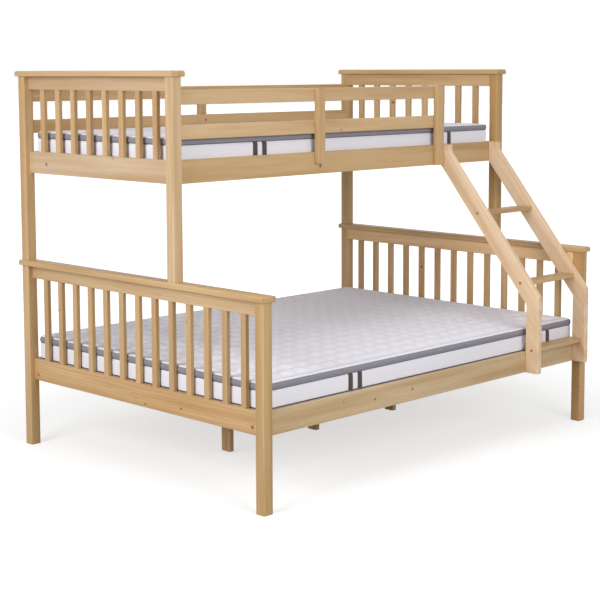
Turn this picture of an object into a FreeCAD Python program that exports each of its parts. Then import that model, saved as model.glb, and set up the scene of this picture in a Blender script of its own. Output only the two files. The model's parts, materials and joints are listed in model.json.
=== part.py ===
"""Triple bunk bed in solid pine.

A double bed stands below and a single bed stands on its two lower caps, with the backs in line.
Each bed has two slatted end panels between square posts, two side rails, bearers, bed slats and a
mattress.  The upper bed has a guard at the front and at the back, and a ladder with cranked
stringers climbs from the lower front rail to the entry beside the front guard.

X runs along the bed, Y from front to back, Z up.  The origin lies on the floor, in the middle of
the box round the whole bed.
"""
import FreeCAD, Part
import Sketcher
import math
import os

# Driving sizes
# Lengths are in millimetres and counts are whole numbers.
SIZES = {
    # Whole bed
    "bed_long": 2010,
    "lower_wide": 1475,
    "upper_wide": 995,
    "lower_post_high": 770,
    "upper_post_high": 769,
    "post_side": 44,
    "edge_round": 3,
    # Moulded caps on the end panels
    "cap_overhang": 10,
    "cap_thick": 23,
    "cap_round": 8,
    "cap_ease": 2.5,
    # Rails and boards
    "rail_thick": 22,
    "rail_high": 90,
    "board_high": 55,
    "board_ease": 2,
    "lower_rail_rise": 280,
    "upper_rail_rise": 367,
    "guard_gap": 76,
    # Upright slats of the end panels
    "panel_slat_wide": 28,
    "panel_slat_thick": 18,
    "slat_ease": 1.5,
    "lower_panel_slats": 13,
    "upper_panel_slats": 8,
    # Tenons and their play
    "tenon_long": 14,
    "tenon_thick": 10,
    "tenon_shoulder": 8,
    "slat_tenon_long": 10,
    "slat_tenon_wide": 20,
    "slat_tenon_thick": 8,
    "joint_clear": 0.2,
    # Rail bolts, barrel nuts and the pins between the two beds, with the sides that stand for round
    "round_sides": 12,
    "bolt_diameter": 6,
    "bolt_embed": 24,
    "bolt_reach": 56,
    "bolt_drop": 22,
    "nut_diameter": 10,
    "nut_long": 16,
    "nut_setback": 40,
    "pin_diameter": 10,
    "pin_embed": 24,
    # Slatted bed bases
    "bearer_high": 22,
    "bearer_thick": 22,
    "bearer_end_gap": 20,
    "bed_slat_wide": 70,
    "bed_slat_thick": 18,
    "bed_slat_end_gap": 3,
    "bed_slat_count": 14,
    # Centre beam and its legs
    "beam_high": 22,
    "beam_wide": 50,
    "beam_tenon_long": 8,
    "beam_tenon_wide": 30,
    "beam_tenon_high": 14,
    "leg_wide": 24,
    "leg_pitch": 511,
    "leg_lift": 10,
    "leg_tenon_long": 12,
    "leg_shoulder": 4,
    # Mattresses
    "lower_mattress_thick": 150,
    "upper_mattress_thick": 130,
    "mattress_end_gap": 11,
    "lower_mattress_side_gap": 18.5,
    "upper_mattress_side_gap": 3.5,
    "mattress_corner": 25,
    "mattress_clear": 0.3,
    # Guards of the upper bed
    "upright_wide": 44,
    "upright_thick": 22,
    "mid_upright_start": 773,
    "end_upright_wide": 50,
    # Ladder
    "ladder_wide": 380,
    "ladder_side_gap": 2,
    "stringer_thick": 28,
    "stringer_wide": 74,
    "foot_deep": 64,
    "foot_high": 296,
    "head_deep": 48,
    "tread_deep": 70,
    "tread_thick": 18,
    "tread_housing": 6,
    "tread_round": 3,
    "screw_cap_diameter": 12,
    "screw_cap_proud": 1.5,
    # How far a cut runs past the face that it opens
    "overrun": 5,
}

# Places worked out from the driving sizes
LAYOUT = {
    "half_long": "Sizes.bed_long / 2",
    "inner_half_long": "half_long - Sizes.post_side",
    "clear_long": "2 * inner_half_long",
    "recess": "Sizes.post_side - Sizes.rail_thick",
    "ladder_reach": "Sizes.foot_deep - recess",
    "lower_front": "(ladder_reach - Sizes.lower_wide - Sizes.cap_overhang) / 2",
    "back": "lower_front + Sizes.lower_wide",
    "upper_front": "back - Sizes.upper_wide",
    "lower_clear_wide": "Sizes.lower_wide - 2 * Sizes.post_side",
    "upper_clear_wide": "Sizes.upper_wide - 2 * Sizes.post_side",
    "lower_middle": "lower_front + Sizes.lower_wide / 2",
    "upper_middle": "upper_front + Sizes.upper_wide / 2",
    "rail_end_place": "inner_half_long + Sizes.rail_thick / 2",
    "lower_floor": "0",
    "lower_top": "Sizes.lower_post_high",
    "upper_floor": "lower_top + Sizes.cap_thick",
    "upper_top": "upper_floor + Sizes.upper_post_high",
    "lower_rail_low": "Sizes.lower_rail_rise",
    "upper_rail_low": "upper_floor + Sizes.upper_rail_rise",
    "lower_rail_top": "lower_rail_low + Sizes.rail_high",
    "upper_rail_top": "upper_rail_low + Sizes.rail_high",
    "lower_board_low": "lower_top - Sizes.board_high",
    "upper_board_low": "upper_top - Sizes.board_high",
    "guard_low": "upper_rail_top + Sizes.guard_gap",
    "guard_high": "guard_low + Sizes.board_high + Sizes.guard_gap",
    "guard_top": "guard_high + Sizes.board_high",
    "tenon_high": "Sizes.board_high - 2 * Sizes.tenon_shoulder",
    "rail_centre": "Sizes.post_side / 2 - Sizes.rail_thick / 2",
    "bolt_rise": "Sizes.rail_high - Sizes.bolt_drop",
    "bolt_long": "Sizes.bolt_embed + Sizes.bolt_reach",
    "bolt_hole": "Sizes.bolt_diameter + 2 * Sizes.joint_clear",
    "nut_hole": "Sizes.nut_diameter + 2 * Sizes.joint_clear",
    "pin_hole": "Sizes.pin_diameter + 2 * Sizes.joint_clear",
    "pin_long": "Sizes.cap_thick + 2 * Sizes.pin_embed",
    "lower_slat_pitch": "(lower_clear_wide + Sizes.panel_slat_wide) / (Sizes.lower_panel_slats + 1)",
    "upper_slat_pitch": "(upper_clear_wide + Sizes.panel_slat_wide) / (Sizes.upper_panel_slats + 1)",
    "bed_slat_pitch": "(clear_long + Sizes.bed_slat_wide) / (Sizes.bed_slat_count + 1)",
    "lower_bed_low": "lower_rail_low + Sizes.bearer_high",
    "upper_bed_low": "upper_rail_low + Sizes.bearer_high",
    "lower_bed_top": "lower_bed_low + Sizes.bed_slat_thick",
    "upper_bed_top": "upper_bed_low + Sizes.bed_slat_thick",
    "beam_low": "lower_bed_low - Sizes.beam_high",
    "beam_tenon_rise": "(Sizes.bearer_high - Sizes.beam_tenon_high) / 2",
    "mattress_long": "clear_long - 2 * Sizes.mattress_end_gap",
    "lower_mattress_wide": "lower_clear_wide - 2 * Sizes.lower_mattress_side_gap",
    "upper_mattress_wide": "upper_clear_wide - 2 * Sizes.upper_mattress_side_gap",
    "ladder_right": "inner_half_long - Sizes.ladder_side_gap",
    "ladder_left": "ladder_right - Sizes.ladder_wide",
    "guard_end": "ladder_left - Sizes.ladder_side_gap",
    "guard_long": "guard_end + inner_half_long",
    "foot_back": "lower_front + recess",
    "foot_front": "foot_back - Sizes.foot_deep",
    "knee": "lower_rail_low + Sizes.foot_high",
    "head_back": "upper_front + recess",
    "head_front": "head_back - Sizes.head_deep",
    "slope": "(upper_rail_low - knee) / (head_back - foot_back)",
    "slope_offset": "Sizes.stringer_wide * sqrt(1 + slope ^ 2)",
    "notch_front": "foot_back + (lower_top - knee - slope_offset) / slope - Sizes.joint_clear",
    "notch_back": "foot_back + (lower_top + Sizes.cap_thick - knee) / slope + Sizes.joint_clear",
    "tread_long": "Sizes.ladder_wide - 2 * (Sizes.stringer_thick - Sizes.tread_housing + Sizes.joint_clear)",
    "tread_rise": "(upper_rail_top - lower_rail_top - Sizes.tread_thick) / 3",
    "lower_tread_low": "lower_rail_top",
    "lower_tread_back": "lower_front + Sizes.post_side",
    "middle_tread_low": "lower_rail_top + tread_rise",
    "middle_tread_back": "foot_back + (middle_tread_low - knee) / slope",
    "upper_tread_low": "lower_rail_top + 2 * tread_rise",
    "upper_tread_back": "foot_back + (upper_tread_low - knee) / slope",
}

# Places of the beds, their sides and their ends, with the sign of the way inwards
TIERS = ("lower", "upper")
SIDES = {"front": 1, "back": -1}
ENDS = {"left": 1, "right": -1}
TREADS = ("lower", "middle", "upper")

# Mattress outline, from the bottom up: height as a share of the thickness, and the inset of the
# sides as a share of the thickness
MATTRESS_SHARES = (
    (0.0, 0.07),
    (0.06, 0.012),
    (0.40, 0.0),
    (0.78, 0.012),
    (0.80, 0.035),
    (0.95, 0.02),
    (1.0, 0.10),
    (1.025, 0.90),
)

# Directions and the test for an edge that runs along one
ALONG_X = FreeCAD.Vector(1, 0, 0)
ALONG_Y = FreeCAD.Vector(0, 1, 0)
ALONG_Z = FreeCAD.Vector(0, 0, 1)
PARALLEL_SHARE = 0.99
QUARTER_TURN = 90


doc = FreeCAD.newDocument("TripleBunkBed")
parts = []


def fill_sheet():
    """Put the driving sizes in the spreadsheet, one to a row, under their names."""
    sheet = doc.addObject("Spreadsheet::Sheet", "Sizes")
    for row, (name, value) in enumerate(SIZES.items(), start=1):
        sheet.set(f"A{row}", name)
        sheet.set(f"B{row}", str(value))
        sheet.setAlias(f"B{row}", name)
    doc.recompute()


def fill_layout():
    """Work out the places that several sub-parts share."""
    layout = doc.addObject("App::VarSet", "Layout")
    for name in LAYOUT:
        layout.addProperty("App::PropertyFloat", name)
    for name, expression in LAYOUT.items():
        layout.setExpression(name, expression)
    doc.recompute()
    return layout


def bind_base(item, x, y, z):
    """Bind the place of an object to three expressions."""
    for axis, expression in zip("xyz", (x, y, z)):
        item.setExpression(f"Placement.Base.{axis}", expression)


def new_body(label, x, y, z, turned=False):
    """Start a sub-part with its origin at x, y, z, turned a quarter about Z if asked."""
    body = doc.addObject("PartDesign::Body", label)
    body.Label = label
    if turned:
        body.Placement.Rotation = FreeCAD.Rotation(ALONG_Z, QUARTER_TURN)
    bind_base(body, x, y, z)
    parts.append(body)
    return body


def add_box(body, kind, name, size, centre):
    """Add or cut a box: its centre is given in X and Y, and its underside in Z."""
    box = body.newObject(f"PartDesign::{kind}Box", name)
    for side, expression in zip(("Length", "Width", "Height"), size):
        box.setExpression(side, expression)
    x, y, z = centre
    bind_base(box, f"{x} - ({size[0]}) / 2", f"{y} - ({size[1]}) / 2", z)
    body.Tip = box
    doc.recompute()
    return box


def cut_bore(body, name, diameter, deep, start, direction):
    """Cut a bore from a point, along a direction."""
    bore = body.newObject("PartDesign::SubtractivePrism", name)
    bore.setExpression("Polygon", "Sizes.round_sides")
    bore.setExpression("Circumradius", f"{diameter} / 2")
    bore.setExpression("Height", deep)
    bore.Placement.Rotation = FreeCAD.Rotation(ALONG_Z, direction)
    bind_base(bore, *start)
    body.Tip = bore
    doc.recompute()


def edges_along(shape, *directions):
    """Name the straight edges of a shape that run along any of the directions."""
    names = []
    for number, edge in enumerate(shape.Edges, start=1):
        way = edge.tangentAt(edge.FirstParameter)
        if any(abs(way.dot(direction)) > PARALLEL_SHARE for direction in directions):
            names.append(f"Edge{number}")
    return names


def edges_at_height(shape, height):
    """Name the edges that lie level at one height."""
    names = []
    for number, edge in enumerate(shape.Edges, start=1):
        box = edge.BoundBox
        if abs(box.ZMin - height) + abs(box.ZMax - height) < Part.Precision.confusion() * 2:
            names.append(f"Edge{number}")
    return names


def soften(body, kind, base, edges, size):
    """Round or chamfer the named edges of a feature."""
    feature = body.newObject(f"PartDesign::{kind}", "softened")
    feature.Base = (base, edges)
    feature.setExpression({"Fillet": "Radius", "Chamfer": "Size"}[kind], size)
    body.Tip = feature
    doc.recompute()
    return feature


def repeat(body, originals, role, pitch, count):
    """Repeat features, or the whole solid when none is named, along an axis of the body."""
    pattern = body.newObject("PartDesign::LinearPattern", "repeated")
    if originals:
        pattern.Originals = originals
    else:
        pattern.TransformMode = "Whole shape"
    pattern.Direction = (origin_part(body, role), [""])
    pattern.Mode = "Spacing"
    pattern.setExpression("Offset", pitch)
    pattern.setExpression("Occurrences", count)
    body.Tip = pattern
    doc.recompute()


def origin_part(body, role):
    """Find an axis or plane of the body's own origin."""
    return next(item for item in body.Origin.OriginFeatures if item.Role == role)


def side_place(tier, side):
    """Y of a bed's outer face on one side."""
    return f"Layout.{tier}_front" if side == "front" else "Layout.back"


# Posts

def post(tier, side, end):
    """A square post with mortises for the end panel, a bolt hole for the side rail and a pin hole."""
    inward_x = ENDS[end]
    inward_y = SIDES[side]
    high = f"Sizes.{tier}_post_high"
    body = new_body(
        f"{tier}_post_{side}_{end}",
        f"{-inward_x} * (Layout.half_long - Sizes.post_side / 2)",
        f"{side_place(tier, side)} + {inward_y} * Sizes.post_side / 2",
        f"Layout.{tier}_floor",
    )
    stock = add_box(body, "Additive", "stock", ("Sizes.post_side", "Sizes.post_side", high), ("0", "0", "0"))
    soften(body, "Fillet", stock, edges_along(stock.Shape, ALONG_Z), "Sizes.edge_round")
    for rail in ("rail", "board"):
        cut_panel_mortise(body, tier, rail, inward_x, inward_y)
    cut_bore(
        body,
        "bolt_hole",
        "Layout.bolt_hole",
        "Sizes.bolt_embed + Sizes.joint_clear + Sizes.overrun",
        (
            f"{inward_x} * (Sizes.post_side / 2 + Sizes.overrun)",
            f"{inward_y} * Layout.rail_centre",
            f"Layout.{tier}_rail_low - Layout.{tier}_floor + Layout.bolt_rise",
        ),
        ALONG_X * -inward_x,
    )
    if tier == "upper":
        cut_pin_hole(body, inward_x, "-Sizes.overrun", ALONG_Z)
        if (side, end) != ("front", "right"):
            cut_guard_mortises(body, inward_x, inward_y)
    elif side == "back":
        cut_pin_hole(body, inward_x, f"{high} + Sizes.overrun", ALONG_Z * -1)
    return body


def cut_panel_mortise(body, tier, rail, inward_x, inward_y):
    """The mortise that takes the tenon of an end panel's rail."""
    size = (
        "Sizes.tenon_thick + 2 * Sizes.joint_clear",
        "Sizes.tenon_long + Sizes.joint_clear + Sizes.overrun",
        "Layout.tenon_high + 2 * Sizes.joint_clear",
    )
    centre = (
        f"{inward_x} * Layout.rail_centre",
        f"{inward_y} * (Sizes.post_side + Sizes.overrun - Sizes.tenon_long - Sizes.joint_clear) / 2",
        f"Layout.{tier}_{rail}_low - Layout.{tier}_floor + Sizes.tenon_shoulder - Sizes.joint_clear",
    )
    add_box(body, "Subtractive", f"{rail}_mortise", size, centre)


def cut_guard_mortises(body, inward_x, inward_y):
    """The two mortises that take the tenons of the guard boards."""
    size = (
        "Sizes.tenon_long + Sizes.joint_clear + Sizes.overrun",
        "Sizes.tenon_thick + 2 * Sizes.joint_clear",
        "Layout.tenon_high + 2 * Sizes.joint_clear",
    )
    for board in ("low", "high"):
        centre = (
            f"{inward_x} * (Sizes.post_side + Sizes.overrun - Sizes.tenon_long - Sizes.joint_clear) / 2",
            f"{inward_y} * Layout.rail_centre",
            f"Layout.guard_{board} - Layout.upper_floor + Sizes.tenon_shoulder - Sizes.joint_clear",
        )
        add_box(body, "Subtractive", f"guard_{board}_mortise", size, centre)


def cut_pin_hole(body, inward_x, start, direction):
    """The hole that takes one end of a pin between the beds, in the top or foot of a post."""
    cut_bore(
        body,
        "pin_hole",
        "Layout.pin_hole",
        "Sizes.pin_embed + Sizes.joint_clear + Sizes.overrun",
        (f"{inward_x} * Layout.rail_centre", "0", start),
        direction,
    )


# Caps

def cap(tier, end):
    """The moulded cap along the top of an end panel, rounded all round."""
    body = new_body(
        f"{tier}_cap_{end}",
        f"{-ENDS[end]} * (Layout.half_long - Sizes.post_side / 2)",
        f"Layout.{tier}_middle",
        f"Layout.{tier}_top",
    )
    size = (
        "Sizes.post_side + 2 * Sizes.cap_overhang",
        f"Sizes.{tier}_wide + 2 * Sizes.cap_overhang",
        "Sizes.cap_thick",
    )
    stock = add_box(body, "Additive", "stock", size, ("0", "0", "0"))
    top = edges_at_height(stock.Shape, stock.Shape.BoundBox.ZMax)
    rounded = soften(body, "Fillet", stock, top, "Sizes.cap_round")
    soften(body, "Chamfer", rounded, edges_at_height(rounded.Shape, 0), "Sizes.cap_ease")
    if tier == "lower":
        cut_cap_holes(body, ENDS[end])
    if (tier, end) == ("lower", "right"):
        cut_ladder_notch(body)


def cut_cap_holes(body, inward_x):
    """The two holes that let the pins of the upper bed through a lower cap."""
    for side, inward_y in SIDES.items():
        cut_bore(
            body,
            f"{side}_pin_hole",
            "Layout.pin_hole",
            "Sizes.cap_thick + 2 * Sizes.overrun",
            (
                f"{inward_x} * Layout.rail_centre",
                f"{side_place('upper', side)} + {inward_y} * Sizes.post_side / 2 - Layout.lower_middle",
                "-Sizes.overrun",
            ),
            ALONG_Z,
        )


def cut_ladder_notch(body):
    """The notch in the inner edge of a lower cap that lets the ladder's right stringer pass."""
    deep = "(Sizes.cap_overhang - Sizes.ladder_side_gap + Sizes.joint_clear)"
    size = (
        f"{deep} + Sizes.overrun",
        "Layout.notch_back - Layout.notch_front",
        "Sizes.cap_thick + 2 * Sizes.overrun",
    )
    centre = (
        f"({deep} - Sizes.overrun - Sizes.post_side) / 2 - Sizes.cap_overhang",
        "(Layout.notch_front + Layout.notch_back) / 2 - Layout.lower_middle",
        "-Sizes.overrun",
    )
    add_box(body, "Subtractive", "ladder_notch", size, centre)


# Rails and boards

def board(label, long, high, place, turned=False, tenons=("left", "right")):
    """A board on edge with eased arrises and a stub tenon on the named ends."""
    body = new_body(label, *place, turned=turned)
    stock = add_box(body, "Additive", "stock", (long, "Sizes.rail_thick", high), ("0", "0", "0"))
    soften(body, "Chamfer", stock, edges_along(stock.Shape, ALONG_X), "Sizes.board_ease")
    for end in tenons:
        add_box(
            body,
            "Additive",
            f"{end}_tenon",
            ("2 * Sizes.tenon_long", "Sizes.tenon_thick", "Layout.tenon_high"),
            (f"{-ENDS[end]} * ({long}) / 2", "0", "Sizes.tenon_shoulder"),
        )
    return body


def panel_rail(tier, kind, end):
    """A rail of an end panel, with the row of mortises that holds the upright slats."""
    high = {"bottom": "Sizes.rail_high", "top": "Sizes.board_high"}[kind]
    low = {"bottom": f"Layout.{tier}_rail_low", "top": f"Layout.{tier}_board_low"}[kind]
    place = (f"{-ENDS[end]} * Layout.rail_end_place", f"Layout.{tier}_middle", low)
    body = board(f"{tier}_{kind}_rail_{end}", f"Layout.{tier}_clear_wide", high, place, turned=True)
    count = f"Sizes.{tier}_panel_slats"
    deep = "Sizes.slat_tenon_long + Sizes.joint_clear"
    underside = {"bottom": f"{high} - ({deep})", "top": "-Sizes.overrun"}[kind]
    mortise = add_box(
        body,
        "Subtractive",
        "slat_mortise",
        (
            "Sizes.slat_tenon_wide + 2 * Sizes.joint_clear",
            "Sizes.slat_tenon_thick + 2 * Sizes.joint_clear",
            f"{deep} + Sizes.overrun",
        ),
        (f"-({count} - 1) * Layout.{tier}_slat_pitch / 2", "0", underside),
    )
    repeat(body, [mortise], "X_Axis", f"Layout.{tier}_slat_pitch", count)
    if (tier, kind) == ("lower", "bottom"):
        cut_beam_mortise(body, -ENDS[end])
    if (tier, kind) == ("lower", "top"):
        cut_rail_pin_hole(body)


def cut_beam_mortise(body, inward):
    """The mortise for the centre beam, in the inner face of a lower end rail."""
    size = (
        "Sizes.beam_tenon_wide + 2 * Sizes.joint_clear",
        "Sizes.beam_tenon_long + Sizes.joint_clear + Sizes.overrun",
        "Sizes.beam_tenon_high + 2 * Sizes.joint_clear",
    )
    reach = "(Sizes.rail_thick + Sizes.overrun - Sizes.beam_tenon_long - Sizes.joint_clear) / 2"
    centre = ("0", f"{inward} * {reach}", "Layout.beam_tenon_rise - Sizes.joint_clear")
    add_box(body, "Subtractive", "beam_mortise", size, centre)


def cut_rail_pin_hole(body):
    """The hole for the pin under an upper front post, in the top of a lower top rail."""
    cut_bore(
        body,
        "pin_hole",
        "Layout.pin_hole",
        "Sizes.pin_embed + Sizes.joint_clear + Sizes.overrun",
        (
            "Layout.upper_front + Sizes.post_side / 2 - Layout.lower_middle",
            "0",
            "Sizes.board_high + Sizes.overrun",
        ),
        ALONG_Z * -1,
    )


def panel_slats(tier, end):
    """The row of upright slats in an end panel, with a stub tenon at both ends of each."""
    clear = f"Layout.{tier}_board_low - Layout.{tier}_rail_top"
    body = new_body(
        f"{tier}_panel_slats_{end}",
        f"{-ENDS[end]} * Layout.rail_end_place",
        f"Layout.{tier}_middle - (Sizes.{tier}_panel_slats - 1) * Layout.{tier}_slat_pitch / 2",
        f"Layout.{tier}_rail_top",
    )
    section = ("Sizes.panel_slat_thick", "Sizes.panel_slat_wide")
    stock = add_box(body, "Additive", "stock", (*section, clear), ("0", "0", "0"))
    soften(body, "Chamfer", stock, edges_along(stock.Shape, ALONG_Z), "Sizes.slat_ease")
    add_box(
        body,
        "Additive",
        "tenons",
        ("Sizes.slat_tenon_thick", "Sizes.slat_tenon_wide", f"{clear} + 2 * Sizes.slat_tenon_long"),
        ("0", "0", "-Sizes.slat_tenon_long"),
    )
    repeat(body, None, "Y_Axis", f"Layout.{tier}_slat_pitch", f"Sizes.{tier}_panel_slats")


def side_rail(tier, side):
    """A long rail with a bolt hole in each end and a barrel nut hole in its inner face."""
    inward = SIDES[side]
    middle = f"{side_place(tier, side)} + {inward} * (Sizes.post_side - Sizes.rail_thick / 2)"
    body = board(
        f"{tier}_side_rail_{side}",
        "Layout.clear_long",
        "Sizes.rail_high",
        ("0", middle, f"Layout.{tier}_rail_low"),
        tenons=(),
    )
    for end, inward_x in ENDS.items():
        cut_bore(
            body,
            f"{end}_bolt_hole",
            "Layout.bolt_hole",
            "Sizes.bolt_reach + Sizes.joint_clear + Sizes.overrun",
            (f"{-inward_x} * (Layout.inner_half_long + Sizes.overrun)", "0", "Layout.bolt_rise"),
            ALONG_X * inward_x,
        )
        cut_bore(
            body,
            f"{end}_nut_hole",
            "Layout.nut_hole",
            "(Sizes.rail_thick + Sizes.nut_long) / 2 + Sizes.joint_clear + Sizes.overrun",
            (
                f"{-inward_x} * (Layout.inner_half_long - Sizes.nut_setback)",
                f"{inward} * (Sizes.rail_thick / 2 + Sizes.overrun)",
                "Layout.bolt_rise",
            ),
            ALONG_Y * -inward,
        )


# Bed bases

def bearer(tier, side):
    """The batten along the foot of a side rail's inner face, which carries the bed slats."""
    inward = SIDES[side]
    middle = f"{side_place(tier, side)} + {inward} * (Sizes.post_side + Sizes.bearer_thick / 2)"
    body = new_body(f"{tier}_bearer_{side}", "0", middle, f"Layout.{tier}_rail_low")
    size = ("Layout.clear_long - 2 * Sizes.bearer_end_gap", "Sizes.bearer_thick", "Sizes.bearer_high")
    stock = add_box(body, "Additive", "stock", size, ("0", "0", "0"))
    soften(body, "Chamfer", stock, edges_along(stock.Shape, ALONG_X), "Sizes.slat_ease")


def bed_slats(tier):
    """The row of loose slats across the bearers."""
    body = new_body(
        f"{tier}_bed_slats",
        "-(Sizes.bed_slat_count - 1) * Layout.bed_slat_pitch / 2",
        f"Layout.{tier}_middle",
        f"Layout.{tier}_bed_low",
    )
    long = f"Layout.{tier}_clear_wide - 2 * Sizes.bed_slat_end_gap"
    stock = add_box(body, "Additive", "stock", ("Sizes.bed_slat_wide", long, "Sizes.bed_slat_thick"), ("0", "0", "0"))
    soften(body, "Chamfer", stock, edges_along(stock.Shape, ALONG_Y), "Sizes.slat_ease")
    repeat(body, None, "X_Axis", "Layout.bed_slat_pitch", "Sizes.bed_slat_count")


def centre_beam():
    """The beam under the middle of the lower slats, tenoned to the end rails."""
    body = new_body("lower_centre_beam", "0", "Layout.lower_middle", "Layout.beam_low")
    size = ("Layout.clear_long", "Sizes.beam_wide", "Sizes.beam_high")
    stock = add_box(body, "Additive", "stock", size, ("0", "0", "0"))
    soften(body, "Chamfer", stock, edges_along(stock.Shape, ALONG_X), "Sizes.slat_ease")
    add_box(
        body,
        "Additive",
        "tenons",
        ("Layout.clear_long + 2 * Sizes.beam_tenon_long", "Sizes.beam_tenon_wide", "Sizes.beam_tenon_high"),
        ("0", "0", "Sizes.beam_high - Sizes.bearer_high + Layout.beam_tenon_rise"),
    )
    mortise = add_box(
        body,
        "Subtractive",
        "leg_mortise",
        (
            "Sizes.leg_wide - 2 * Sizes.leg_shoulder + 2 * Sizes.joint_clear",
            "Sizes.beam_wide - 2 * Sizes.tenon_shoulder + 2 * Sizes.joint_clear",
            "Sizes.leg_tenon_long + Sizes.joint_clear + Sizes.overrun",
        ),
        ("-Sizes.leg_pitch", "0", "-Sizes.overrun"),
    )
    repeat(body, [mortise], "X_Axis", "Sizes.leg_pitch", "3")


def centre_leg(name, step):
    """A flat leg under the centre beam, tenoned into it and stopping just clear of the floor."""
    body = new_body(f"lower_centre_leg_{name}", f"{step} * Sizes.leg_pitch", "Layout.lower_middle", "Sizes.leg_lift")
    long = "Layout.beam_low - Sizes.leg_lift"
    stock = add_box(body, "Additive", "stock", ("Sizes.leg_wide", "Sizes.beam_wide", long), ("0", "0", "0"))
    soften(body, "Chamfer", stock, edges_along(stock.Shape, ALONG_Z), "Sizes.slat_ease")
    add_box(
        body,
        "Additive",
        "tenon",
        (
            "Sizes.leg_wide - 2 * Sizes.leg_shoulder",
            "Sizes.beam_wide - 2 * Sizes.tenon_shoulder",
            "2 * Sizes.leg_tenon_long",
        ),
        ("0", "0", f"{long} - Sizes.leg_tenon_long"),
    )


# Mattresses

def section(body, name, height, long, wide, corner):
    """A level outline with rounded corners, centred on the body's Z axis."""
    sketch = body.newObject("Sketcher::SketchObject", name)
    sketch.AttachmentSupport = (origin_part(body, "XY_Plane"), [""])
    sketch.MapMode = "FlatFace"
    sketch.setExpression("AttachmentOffset.Base.z", height)
    half_x = sketch.evalExpression(long) / 2
    half_y = sketch.evalExpression(wide) / 2
    radius = sketch.evalExpression(corner)
    quarter = math.pi / 2
    signs = ((1, -1), (1, 1), (-1, 1), (-1, -1))
    centres = [FreeCAD.Vector(x * (half_x - radius), y * (half_y - radius), 0) for x, y in signs]
    arcs = [
        Part.ArcOfCircle(Part.Circle(centre, ALONG_Z, radius), (step - 1) * quarter, step * quarter)
        for step, centre in enumerate(centres)
    ]
    lines = [Part.LineSegment(arcs[step].EndPoint, arcs[step - 3].StartPoint) for step in range(len(arcs))]
    sketch.addGeometry(arcs + lines, False)
    first_line = len(arcs)
    for step in range(len(arcs)):
        line = first_line + step
        sketch.addConstraint(Sketcher.Constraint("Tangent", step, 2, line, 1))
        sketch.addConstraint(Sketcher.Constraint("Tangent", line, 2, (step + 1) % len(arcs), 1))
        sketch.addConstraint(Sketcher.Constraint(("Vertical", "Horizontal")[step % 2], line))
        if step:
            sketch.addConstraint(Sketcher.Constraint("Equal", 0, step))
    sketch.addConstraint(Sketcher.Constraint("Symmetric", 0, 3, 2, 3, -1, 1))
    sizes = (
        ("long", Sketcher.Constraint("DistanceX", first_line + 2, 1, first_line, 1, 2 * half_x), long),
        ("wide", Sketcher.Constraint("DistanceY", first_line + 3, 1, first_line + 1, 1, 2 * half_y), wide),
        ("corner", Sketcher.Constraint("Radius", 0, radius), corner),
    )
    for title, constraint, expression in sizes:
        sketch.renameConstraint(sketch.addConstraint(constraint), title)
        sketch.setExpression(f"Constraints.{title}", expression)
    return sketch


def mattress(tier):
    """A crowned mattress with rolled edges, its sides drawn in at the seam under the top band."""
    body = new_body(
        f"{tier}_mattress",
        "0",
        f"Layout.{tier}_middle",
        f"Layout.{tier}_bed_top + Sizes.mattress_clear",
    )
    thick = f"Sizes.{tier}_mattress_thick"
    sections = []
    for step, (height_share, inset_share) in enumerate(MATTRESS_SHARES):
        inset = f"{inset_share} * {thick}"
        sections.append(section(
            body,
            f"section_{step}",
            f"{height_share} * {thick}",
            f"Layout.mattress_long - 2 * {inset}",
            f"Layout.{tier}_mattress_wide - 2 * {inset}",
            "Sizes.mattress_corner",
        ))
    loft = body.newObject("PartDesign::AdditiveLoft", "padding")
    loft.Profile = sections[0]
    loft.Sections = sections[1:]
    loft.Ruled = True
    body.Tip = loft
    doc.recompute()


# Guards of the upper bed

def guards():
    """Two boards at the front, from the left post to the ladder, and two at the back."""
    front = "Layout.upper_front + Sizes.post_side - Sizes.rail_thick / 2"
    back = "Layout.back - Sizes.post_side + Sizes.rail_thick / 2"
    start = "(Layout.guard_end - Layout.inner_half_long) / 2"
    for name in ("low", "high"):
        low = f"Layout.guard_{name}"
        board(f"front_guard_board_{name}", "Layout.guard_long", "Sizes.board_high", (start, front, low), tenons=("left",))
        board(f"back_guard_board_{name}", "Layout.clear_long", "Sizes.board_high", ("0", back, low))


def upright(label, wide, centre, side, low):
    """A flat upright on the outer faces of a guard's boards and of the side rail."""
    place = f"{side_place('upper', side)} + {SIDES[side]} * Sizes.upright_thick / 2"
    body = new_body(label, centre, place, low)
    size = (wide, "Sizes.upright_thick", f"Layout.guard_top - ({low})")
    stock = add_box(body, "Additive", "stock", size, ("0", "0", "0"))
    soften(body, "Chamfer", stock, edges_along(stock.Shape, ALONG_Z), "Sizes.board_ease")


def uprights():
    """The middle uprights stop half-way down the rail, and the end one runs to its foot."""
    half_way = "Layout.upper_rail_low + Sizes.rail_high / 2"
    mid = "Sizes.mid_upright_start + Sizes.upright_wide / 2 - Layout.half_long"
    end = "Layout.guard_end - Sizes.end_upright_wide / 2"
    upright("front_guard_upright_middle", "Sizes.upright_wide", mid, "front", half_way)
    upright("front_guard_upright_end", "Sizes.end_upright_wide", end, "front", "Layout.upper_rail_low")
    upright("back_guard_upright", "Sizes.upright_wide", "0", "back", half_way)


# Ladder

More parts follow.
